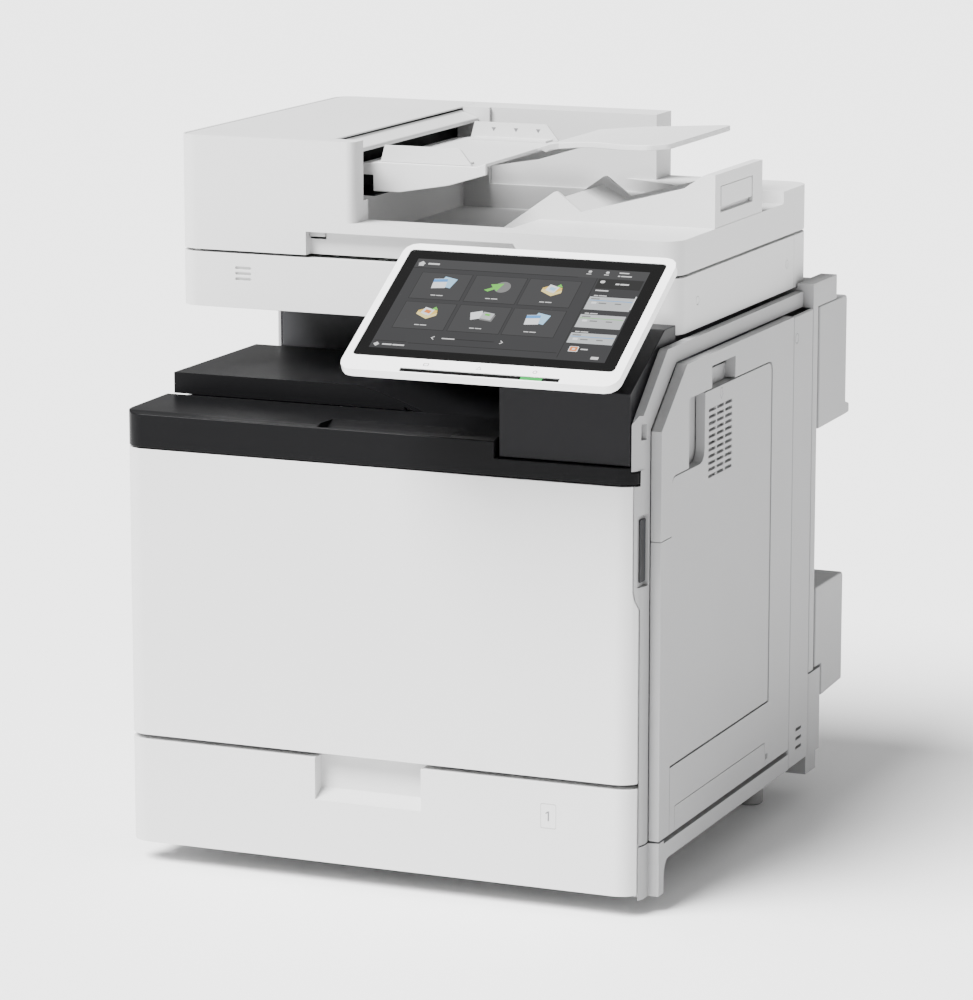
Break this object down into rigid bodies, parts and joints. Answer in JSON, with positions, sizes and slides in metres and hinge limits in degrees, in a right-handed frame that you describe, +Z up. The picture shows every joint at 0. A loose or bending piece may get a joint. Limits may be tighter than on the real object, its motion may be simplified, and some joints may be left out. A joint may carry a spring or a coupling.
{
  "type": "desktop photocopier",
  "caption": "Desktop colour photocopier with a document feeder lid, flatbed scanner, tilting touch panel, output tray, paper drawer and a side door with a fold-out bypass tray.",
  "frame": {"origin": "on the floor under the middle of the bounding box", "axes": "+Z up, -Y out of the front, +X to the right of someone facing the front"},
  "size_m": [0.5174, 0.651, 0.661],
  "materials": {
    "white_plastic": "fine satin grain, near white",
    "light_grey_plastic": "fine satin grain, light grey",
    "black_plastic": "semi-gloss black",
    "charcoal_plastic": "matte dark grey",
    "glass": "smooth glass over black",
    "sheet_steel": "plain zinc coated sheet",
    "drum_coating": "smooth blue-green coating",
    "fuser_sleeve": "smooth amber sleeve",
    "rubber": "matte black"
  },
  "bodies": {
    "main_body": {"base_frame": "light_grey_plastic", "foot_front_left": "rubber", "foot_front_right": "rubber", "foot_rear_left": "rubber", "foot_rear_right": "rubber", "left_cover": "light_grey_plastic", "side_trim": "light_grey_plastic", "right_rear_cover": "light_grey_plastic", "rear_cover": "light_grey_plastic", "rear_box_upper": "light_grey_plastic", "rear_box_lower": "light_grey_plastic", "power_inlet": "black_plastic", "front_trim": "black_plastic", "output_tray": "black_plastic", "inner_wall": "charcoal_plastic", "panel_box": "charcoal_plastic", "engine_floor": "sheet_steel", "engine_front_plate": "charcoal_plastic", "engine_rear_plate": "sheet_steel", "laser_unit": "charcoal_plastic", "toner_bottle_1": "black_plastic", "toner_bottle_2": "black_plastic", "toner_bottle_3": "black_plastic", "toner_bottle_4": "black_plastic", "transfer_belt": "black_plastic", "scanner_housing": "white_plastic", "platen_glass": "glass", "lid_hinge_left": "light_grey_plastic", "lid_hinge_right": "light_grey_plastic"},
    "front_cover": {"front_cover": "white_plastic"},
    "cassette": {"cassette_front": "white_plastic", "cassette_body": "charcoal_plastic"},
    "lift_plate": {"lift_plate": "sheet_steel"},
    "paper_guide_front": {"cassette_guide_front": "charcoal_plastic"},
    "paper_guide_rear": {"cassette_guide_rear": "charcoal_plastic"},
    "paper_end_guide": {"cassette_end_guide": "charcoal_plastic"},
    "side_door": {"side_door": "light_grey_plastic"},
    "bypass_tray": {"bypass_tray": "light_grey_plastic"},
    "door_latch": {"door_latch": "charcoal_plastic"},
    "control_panel": {"panel_frame": "white_plastic", "touch_glass": "glass", "panel_housing": "charcoal_plastic"},
    "feeder": {"feeder_base": "white_plastic", "platen_pad": "white_plastic"},
    "feeder_cover": {"feeder_cover": "white_plastic"},
    "feed_roller": {"feed_roller": "rubber"},
    "input_tray": {"input_tray": "white_plastic"},
    "document_guide_front": {"guide_front": "white_plastic"},
    "document_guide_rear": {"guide_rear": "white_plastic"},
    "stop_flap": {"stop_flap": "white_plastic"},
    "scan_carriage": {"scan_carriage": "charcoal_plastic"},
    "drum_1": {"drum_1": "drum_coating"},
    "drum_2": {"drum_2": "drum_coating"},
    "drum_3": {"drum_3": "drum_coating"},
    "drum_4": {"drum_4": "drum_coating"},
    "fixing_roller": {"fixing_roller": "fuser_sleeve"},
    "pressure_roller": {"pressure_roller": "fuser_sleeve"},
    "delivery_roller": {"delivery_roller": "rubber"},
    "pickup_roller": {"pickup_roller": "rubber"},
    "power_switch": {"power_switch": "black_plastic"}
  },
  "joints": [
    {"name": "front_cover_hinge", "type": "hinge", "parent": "main_body", "child": "front_cover", "pos_m": [-0.00325, -0.22, 0.129], "axis": [1, 0, 0], "range_deg": [0, 90]},
    {"name": "cassette_slide", "type": "slide", "parent": "main_body", "child": "cassette", "axis": [0, -1, 0], "range_m": [0, 0.38]},
    {"name": "lift_plate_hinge", "type": "hinge", "parent": "cassette", "child": "lift_plate", "pos_m": [-0.09325, 0.015, 0.056], "axis": [0, -1, 0], "range_deg": [0, 8]},
    {"name": "paper_guide_rear_slide", "type": "slide", "parent": "cassette", "child": "paper_guide_rear", "axis": [0, 1, 0], "range_m": [-0.03, 0.0435]},
    {"name": "paper_guide_front_slide", "type": "slide", "parent": "cassette", "child": "paper_guide_front", "axis": [0, -1, 0], "range_m": [-0.03, 0.0435]},
    {"name": "paper_end_guide_slide", "type": "slide", "parent": "cassette", "child": "paper_end_guide", "axis": [1, 0, 0], "range_m": [-0.045, 0.09]},
    {"name": "side_door_hinge", "type": "hinge", "parent": "main_body", "child": "side_door", "pos_m": [0.24925, 0.1525, 0.26], "axis": [0, 0, 1], "range_deg": [0, 60]},
    {"name": "bypass_tray_hinge", "type": "hinge", "parent": "side_door", "child": "bypass_tray", "pos_m": [0.24925, -0.037, 0.13], "axis": [0, 1, 0], "range_deg": [0, 65]},
    {"name": "door_latch_pivot", "type": "hinge", "parent": "main_body", "child": "door_latch", "pos_m": [0.23925, -0.203, 0.33], "axis": [0, 0, 1], "range_deg": [0, 25], "stiffness_Nm_per_rad": 0.02},
    {"name": "panel_tilt_hinge", "type": "hinge", "parent": "main_body", "child": "control_panel", "pos_m": [0.16675, -0.1823, 0.5338], "axis": [1, 0, 0], "range_deg": [-10, 30]},
    {"name": "feeder_lid_hinge", "type": "hinge", "parent": "main_body", "child": "feeder", "pos_m": [-0.00325, 0.259, 0.554], "axis": [-1, 0, 0], "range_deg": [0, 70]},
    {"name": "feeder_cover_hinge", "type": "hinge", "parent": "feeder", "child": "feeder_cover", "pos_m": [-0.25325, 0.07, 0.6605], "axis": [0, -1, 0], "range_deg": [0, 60]},
    {"name": "feed_roller_axle", "type": "hinge", "parent": "feeder", "child": "feed_roller", "pos_m": [-0.13825, 0.035, 0.632], "axis": [0, 1, 0], "continuous": true},
    {"name": "input_tray_hinge", "type": "hinge", "parent": "feeder", "child": "input_tray", "pos_m": [-0.09325, 0.07, 0.63], "axis": [0, -1, 0], "range_deg": [0, 30]},
    {"name": "document_guide_front_slide", "type": "slide", "parent": "input_tray", "child": "document_guide_front", "axis": [0, 1, 0], "range_m": [0, 0.055]},
    {"name": "document_guide_rear_slide", "type": "slide", "parent": "input_tray", "child": "document_guide_rear", "axis": [0, -1, 0], "range_m": [0, 0.055]},
    {"name": "stop_flap_hinge", "type": "hinge", "parent": "feeder", "child": "stop_flap", "pos_m": [0.23195, 0.044, 0.6215], "axis": [0, -1, 0], "range_deg": [0, 90]},
    {"name": "scan_carriage_slide", "type": "slide", "parent": "main_body", "child": "scan_carriage", "axis": [1, 0, 0], "range_m": [0, 0.4]},
    {"name": "drum_axle_1", "type": "hinge", "parent": "main_body", "child": "drum_1", "pos_m": [-0.17825, 0, 0.205], "axis": [0, 1, 0], "continuous": true},
    {"name": "drum_axle_2", "type": "hinge", "parent": "main_body", "child": "drum_2", "pos_m": [-0.09825, 0, 0.205], "axis": [0, 1, 0], "continuous": true},
    {"name": "drum_axle_3", "type": "hinge", "parent": "main_body", "child": "drum_3", "pos_m": [-0.01825, 0, 0.205], "axis": [0, 1, 0], "continuous": true},
    {"name": "drum_axle_4", "type": "hinge", "parent": "main_body", "child": "drum_4", "pos_m": [0.06175, 0, 0.205], "axis": [0, 1, 0], "continuous": true},
    {"name": "pressure_roller_axle", "type": "hinge", "parent": "main_body", "child": "pressure_roller", "pos_m": [0.17425, 0, 0.315], "axis": [0, 1, 0], "continuous": true},
    {"name": "fixing_roller_axle", "type": "hinge", "parent": "main_body", "child": "fixing_roller", "pos_m": [0.14675, 0, 0.315], "axis": [0, 1, 0], "continuous": true},
    {"name": "delivery_roller_axle", "type": "hinge", "parent": "main_body", "child": "delivery_roller", "pos_m": [0.16675, 0, 0.36], "axis": [0, 1, 0], "continuous": true},
    {"name": "pickup_roller_axle", "type": "hinge", "parent": "main_body", "child": "pickup_roller", "pos_m": [0.15675, 0.015, 0.124], "axis": [0, 1, 0], "continuous": true},
    {"name": "power_switch_pivot", "type": "hinge", "parent": "main_body", "child": "power_switch", "pos_m": [0.13175, 0.2575, 0.072], "axis": [1, 0, 0], "range_deg": [-8, 8]}
  ],
  "couplings": [
    {"joint": "paper_guide_front_slide", "follows": "paper_guide_rear_slide", "ratio": 1},
    {"joint": "document_guide_front_slide", "follows": "document_guide_rear_slide", "ratio": 1},
    {"joint": "fixing_roller_axle", "follows": "pressure_roller_axle", "ratio": -1.0769},
    {"joint": "drum_axle_2", "follows": "drum_axle_1", "ratio": 1},
    {"joint": "drum_axle_3", "follows": "drum_axle_1", "ratio": 1},
    {"joint": "drum_axle_4", "follows": "drum_axle_1", "ratio": 1}
  ]
}
